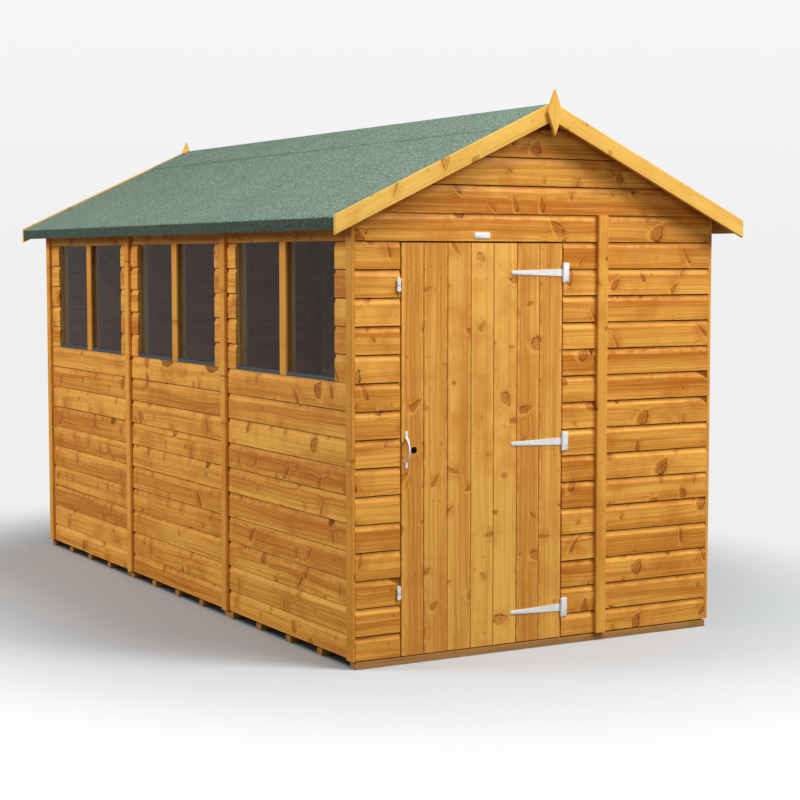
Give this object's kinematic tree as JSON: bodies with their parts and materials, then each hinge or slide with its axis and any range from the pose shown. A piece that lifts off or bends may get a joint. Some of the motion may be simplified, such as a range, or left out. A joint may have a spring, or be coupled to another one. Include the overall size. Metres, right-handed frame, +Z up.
{
  "type": "wooden garden shed",
  "caption": "Apex garden shed in shiplap wall panels with a windowed side wall, a single ledged door on strap hinges, a felted roof, bargeboards and finials.",
  "frame": {"origin": "on the ground under the middle of the shed", "axes": "+Z up, the door gable faces -Y, +X to the right as seen from the door side"},
  "size_m": [1.98, 3.781, 2.281],
  "materials": {
    "shiplap": "dip-treated honey softwood",
    "trim": "dip-treated planed softwood",
    "framing": "rough planed softwood",
    "door_timber": "dip-treated matched boards",
    "bargeboard": "planed yellow pine",
    "felt": "green mineral granules",
    "glazing": "clear sheet",
    "sill_strip": "matt slate grey",
    "white_steel": "white zinc",
    "name_plate": "satin white"
  },
  "bodies": {
    "shed": {"floor_bearers": "framing", "floor_boards": "framing", "left_boards_below_windows": "shiplap", "left_boards_beside_windows": "shiplap", "left_boards_over_windows": "shiplap", "left_wall_studs": "framing", "left_wall_rails": "framing", "window_glass": "glazing", "window_mullions": "trim", "window_sills": "sill_strip", "right_wall_boards": "shiplap", "right_wall_studs": "framing", "right_wall_rails": "framing", "back_wall_boards": "shiplap", "back_wall_studs": "framing", "back_wall_rails": "framing", "back_gable_boards": "shiplap", "boards_beside_door": "shiplap", "boards_over_door": "shiplap", "front_narrow_panel_boards": "shiplap", "front_wall_studs": "framing", "front_wall_rails": "framing", "front_gable_boards": "shiplap", "gable_bottom_rails": "framing", "gable_rafters": "framing", "corner_strips": "trim", "panel_joint_strips": "trim", "left_roof_boards": "framing", "right_roof_boards": "framing", "roof_purlins": "framing", "eaves_battens": "framing", "left_roof_felt": "felt", "right_roof_felt": "felt", "ridge_felt": "felt", "front_bargeboards": "bargeboard", "back_bargeboards": "bargeboard", "finials": "bargeboard", "hinge_plates": "white_steel", "turn_button_bolts": "white_steel", "name_plate": "name_plate"},
    "door": {"door_boards": "door_timber", "door_ledges": "door_timber", "door_braces": "door_timber", "door_handle": "white_steel", "hinge_straps": "white_steel"},
    "upper_button": {"upper_turn_button": "white_steel"},
    "lower_button": {"lower_turn_button": "white_steel"}
  },
  "joints": [
    {"name": "door_swing", "type": "hinge", "parent": "shed", "child": "door", "pos_m": [0.1025, -1.806, 0.853], "axis": [0, 0, 1], "range_deg": [0, 165]},
    {"name": "upper_button_turn", "type": "hinge", "parent": "shed", "child": "upper_button", "pos_m": [-0.6753, -1.8, 1.504], "axis": [0, -1, 0], "range_deg": [0, 90]},
    {"name": "lower_button_turn", "type": "hinge", "parent": "shed", "child": "lower_button", "pos_m": [-0.6753, -1.8, 0.289], "axis": [0, -1, 0], "range_deg": [0, 90]}
  ]
}
